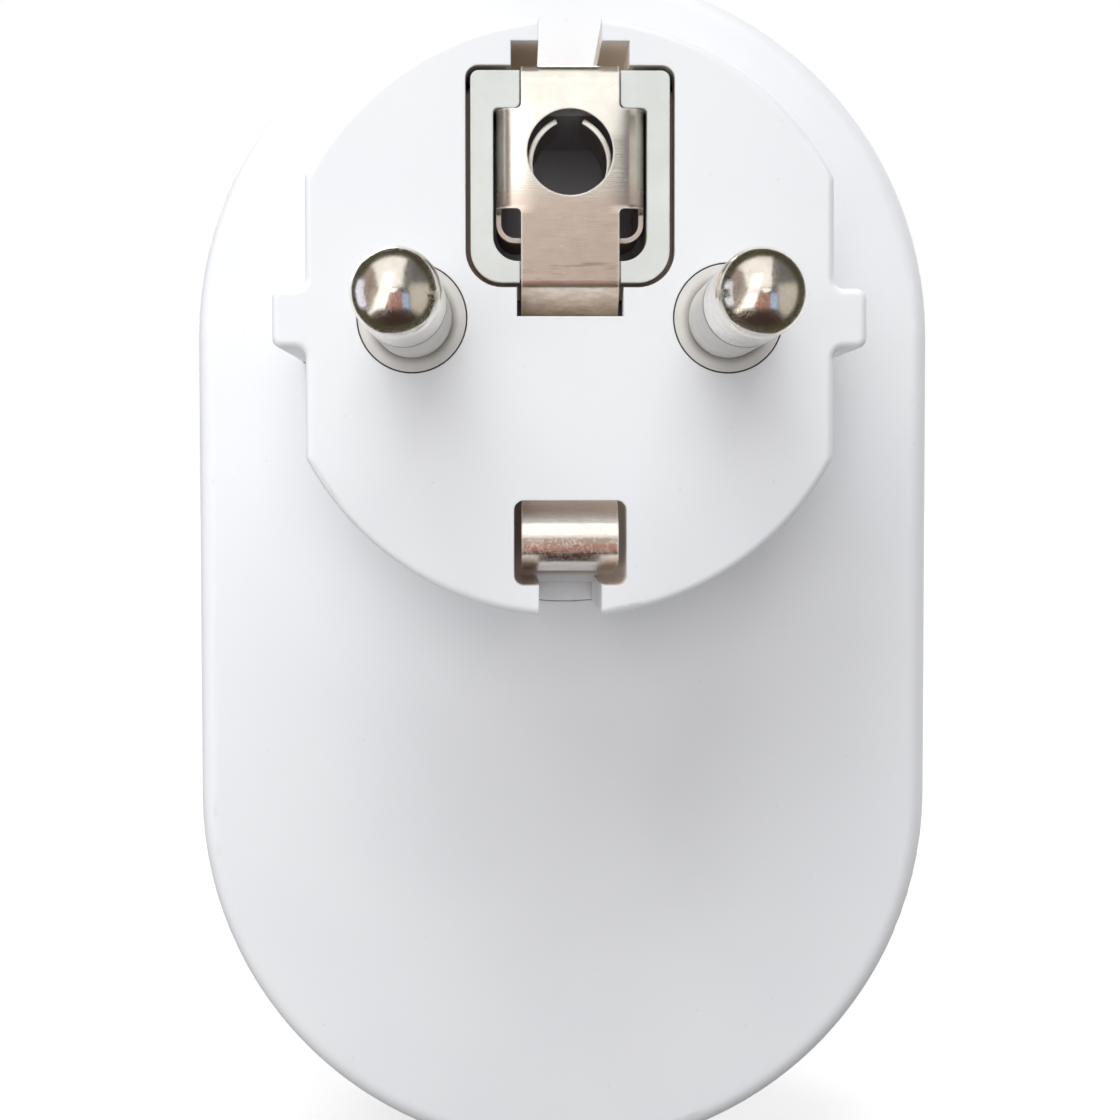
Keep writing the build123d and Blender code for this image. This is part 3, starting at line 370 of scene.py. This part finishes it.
sleeve = Finish("can_sleeve", IOR=1.5)
sleeve_cloud = sleeve.place.noise(0.8, 3.0)
sleeve_black = sleeve_cloud.choose((0.02, 0.022, 0.03, 1.0), (0.045, 0.048, 0.06, 1.0))
sleeve.wear(sleeve_black, 0.22 + sleeve_cloud * 0.12, sleeve_cloud, 0.02)
sleeve.put_on("input_capacitor_upper", "input_capacitor_lower", "output_capacitor")

film = Finish("film_yellow", IOR=1.5)
film_cloud = film.place.noise(1.0, 3.0)
film_yellow = film_cloud.choose((0.66, 0.47, 0.07, 1.0), (0.80, 0.62, 0.14, 1.0))
film.wear(film_yellow, 0.32 + film_cloud * 0.15, film.place.noise(5.0, 3.0), 0.012, edge=0.15)
film.put_on("film_capacitor")

glaze = Finish("fuse_ceramic", IOR=1.5)
glaze_cloud = glaze.place.noise(0.9, 3.0)
glaze_white = glaze_cloud.choose((0.74, 0.72, 0.66, 1.0), (0.85, 0.84, 0.80, 1.0))
glaze.wear(glaze_white, 0.25 + glaze_cloud * 0.2, glaze_cloud, 0.01, edge=0.1)
glaze.put_on("fuse")

# The rectifier, the control chip and the optocoupler: black moulded epoxy with a dull spark-eroded
# top, soldered flat on the board.

epoxy = Finish("chip_black", IOR=1.5)
epoxy_grain = epoxy.place.noise(9.0, 3.0)
epoxy_black = epoxy_grain.choose((0.018, 0.018, 0.018, 1.0), (0.04, 0.04, 0.041, 1.0))
epoxy.wear(epoxy_black, 0.5 + epoxy_grain * 0.15, epoxy_grain, 0.01)
epoxy.put_on("bridge_rectifier", "control_chip", "optocoupler")

# The two inner leads: stranded wire in soft PVC, soldered between the contacts and the board, brown
# on the live side and blue on the neutral one.

for pole, dark, light in (
    ("line", (0.10, 0.042, 0.02, 1.0), (0.17, 0.08, 0.04, 1.0)),
    ("neutral", (0.015, 0.07, 0.27, 1.0), (0.035, 0.13, 0.40, 1.0)),
):
    lead = Finish(pole + "_lead", IOR=1.5)
    lead_cloud = lead.place.noise(1.2, 3.0)
    lead.wear(lead_cloud.choose(dark, light), 0.35 + lead_cloud * 0.15, lead_cloud, 0.02)
    lead.put_on(pole + "_lead")

# The studio: a floor of grey paper just under the adapter, which the camera sees white, and white
# behind it. Soft lamps stand high in front, low on the left and in front, and two weaker ones behind.


def camera_or_mirror(tree):
    """1 for the rays that show the background: the camera's own, and those in mirrors and glass."""
    path = tree.nodes.new("ShaderNodeLightPath").outputs
    seen = Wire(tree, path["Is Camera Ray"]) + Wire(tree, path["Is Glossy Ray"])
    return seen.sum_node("MINIMUM", seen + Wire(tree, path["Is Transmission Ray"]), 1.0)


world = bpy.data.worlds.new("studio_air")
world.use_nodes = True
bpy.context.scene.world = world
air = world.node_tree.nodes["Background"]
seen = camera_or_mirror(world.node_tree)
air_colour = seen.choose((0.03, 0.031, 0.033, 1.0), (1.0, 1.0, 1.0, 1.0))
world.node_tree.links.new(air_colour.socket, air.inputs["Color"])

floor_radius = 3.0
floor_gap = 0.00005
ground = bmesh.new()
bmesh.ops.create_circle(ground, cap_ends=True, segments=64, radius=floor_radius)
bmesh.ops.translate(ground, verts=ground.verts, vec=(0.0, 0.0, cad_box[0][2] - floor_gap))
mesh = bpy.data.meshes.new("floor")
ground.to_mesh(mesh)
ground.free()
floor = bpy.data.objects.new("floor", mesh)
bpy.context.collection.objects.link(floor)
paper = Finish("floor_paper", IOR=1.4, Emission_Strength=1.0)
paper_cloud = paper.place.noise(0.02, 2.0)
paper_grey = paper_cloud.choose((0.32, 0.32, 0.32, 1.0), (0.34, 0.34, 0.34, 1.0))
paper.wear(paper_grey, 0.9 + paper_cloud * 0.05, paper_cloud, 0.01)
away = paper.place.node("VectorMath", {"operation": "LENGTH"}, {0: paper.place}, 1).step(90.0, 700.0)
near_and_far = away.choose((0.72, 0.72, 0.72, 1.0), (1.0, 1.0, 1.0, 1.0))
paper_seen = camera_or_mirror(paper.material.node_tree)
paper.feed(Emission_Color=paper_seen.choose((0.0, 0.0, 0.0, 1.0), near_and_far))
mesh.materials.append(paper.material)
floor.visible_glossy = False

# Each lamp: name, place, the point that it faces, side of the square, watts, spread, tint
for name, spot, aim, size, watts, spread, tint in (
    ("window", (-0.25, -0.35, 0.45), (0.0, 0.01, -0.01), 0.4, 1.38, 180, (0.985, 0.995, 1.0)),
    ("ceiling", (0.0, -0.25, 0.55), (0.0, 0.01, -0.01), 0.4, 2.12, 180, (0.985, 0.995, 1.0)),
    ("side_window", (-0.18, -0.10, 0.02), (0.0, 0.01, -0.01), 0.15, 0.107, 180, (0.97, 0.98, 1.0)),
    ("front_wall", (0.0, -0.55, 0.05), (0.0, 0.01, -0.01), 0.3, 1.10, 180, (1.0, 0.98, 0.995)),
    ("rear_wall", (-0.12, 0.55, 0.25), (0.0, 0.05, -0.01), 0.3, 0.31, 60, (1.0, 1.0, 1.0)),
    ("rear_side", (0.50, 0.30, 0.20), (0.0, 0.03, -0.01), 0.3, 0.3, 60, (1.0, 1.0, 1.0)),
):
    lamp = bpy.data.lights.new(name, "AREA")
    lamp.shape = "SQUARE"
    lamp.size = size
    lamp.energy = watts
    lamp.color = tint
    lamp.spread = math.radians(spread)
    holder = bpy.data.objects.new(name, lamp)
    direction = Vector(aim) - Vector(spot)
    holder.matrix_world = Matrix.Translation(spot) @ direction.to_track_quat("-Z", "Y").to_matrix().to_4x4()
    holder.visible_camera = False
    holder.visible_glossy = name == "rear_wall"
    bpy.context.collection.objects.link(holder)

# The room round the plug, which only reflections show: a bright ceiling and windows on the left, warm
# dim walls level with the adapter, a red chair and a dark table below, and a dark far side.

room_radius = 0.8
room_back = 0.58
dome = bmesh.new()
bmesh.ops.create_uvsphere(dome, u_segments=48, v_segments=24, radius=room_radius)
bmesh.ops.bisect_plane(dome, geom=dome.verts[:] + dome.edges[:] + dome.faces[:],
                       plane_co=(0.0, room_back, 0.0), plane_no=(0.0, 1.0, 0.0), clear_outer=True)
bmesh.ops.reverse_faces(dome, faces=dome.faces)
mesh = bpy.data.meshes.new("room")
dome.to_mesh(mesh)
dome.free()
room = bpy.data.objects.new("room", mesh)
bpy.context.collection.objects.link(room)
walls = Finish("room_walls", IOR=1.0, Specular_IOR_Level=0.0, Emission_Strength=1.0,
               Base_Color=(0.0, 0.0, 0.0, 1.0))
per_radius = 0.001 / room_radius
side = walls.place.part("X") * per_radius
front = walls.place.part("Y") * -per_radius
rise = walls.place.part("Z") * per_radius
clutter = walls.place.noise(0.004, 2.0).step(0.35, 0.65)
walls_colour = clutter.choose((0.31, 0.237, 0.197, 1.0), (0.43, 0.362, 0.317, 1.0))
right = side.step(0.12, 0.30)
walls_colour = right.choose(walls_colour, (0.155, 0.152, 0.145, 1.0))
far_right = side.step(0.50, 0.68) * rise.step(0.40, 0.15)
walls_colour = far_right.choose(walls_colour, (0.60, 0.555, 0.49, 1.0))
red_chair = rise.band(-0.70, -0.18, 0.08) * side.band(-0.30, 0.28, 0.08)
walls_colour = red_chair.choose(walls_colour, (0.40, 0.19, 0.14, 1.0))
blue_corner = side.band(0.34, 0.52, 0.06) * rise.band(-0.62, -0.16, 0.08)
walls_colour = blue_corner.choose(walls_colour, (0.44, 0.60, 0.86, 1.0))
table = rise.step(-0.58, -0.82)
walls_colour = table.choose(walls_colour, (0.050, 0.033, 0.027, 1.0))
overhead = rise.step(0.10, 0.24) * side.band(-0.60, 0.28, 0.12)
lean = side - rise * 0.30
windows = lean.band(-0.62, -0.20, 0.07) * rise.band(-0.62, 0.50, 0.08)
walls_colour = overhead.choose(walls_colour, (1.13, 1.10, 1.04, 1.0))
walls_colour = windows.choose(walls_colour, (1.26, 1.22, 1.16, 1.0))
panes = lean.band(-0.54, -0.26, 0.07) * (rise.band(0.20, 0.62, 0.08) + rise.band(-0.56, -0.16, 0.08))
walls_colour = panes.choose(walls_colour, (2.0, 1.96, 1.88, 1.0))
far_side = front.step(0.06, -0.22)
walls_colour = far_side.choose(walls_colour, (0.075, 0.068, 0.042, 1.0))
left_stripe = side.step(-0.86, -0.93) * rise.band(-0.35, 0.30, 0.1) * front.band(-0.34, 0.10, 0.08)
walls_colour = left_stripe.choose(walls_colour, (0.92, 0.97, 1.10, 1.0))
walls.feed(Emission_Color=walls_colour)
mesh.materials.append(walls.material)
room.visible_camera = False
room.visible_diffuse = False
room.visible_shadow = False
room.visible_transmission = False

# The camera: level with the lower half of the plug, close in front of it and turned a little to the
# right and down, as the photograph was taken.

photo_width = 1120
focal_pixels = 2052.5
lens = bpy.data.cameras.new("camera")
lens.sensor_width = 36.0
lens.lens = focal_pixels / photo_width * lens.sensor_width
lens.clip_start = 0.005
lens.clip_end = 20.0
camera = bpy.data.objects.new("camera", lens)
camera_spot = Matrix.Translation((-0.003206, -0.123642, -0.009741))
camera_yaw = Matrix.Rotation(math.radians(-1.191), 4, "Z")
camera_pitch = Matrix.Rotation(math.radians(90 - 2.224), 4, "X")
camera_roll = Matrix.Rotation(math.radians(-0.055), 4, "Z")
camera.matrix_world = camera_spot @ camera_yaw @ camera_pitch @ camera_roll
bpy.context.collection.objects.link(camera)
bpy.context.scene.camera = camera
bpy.context.scene.view_settings.view_transform = "Standard"
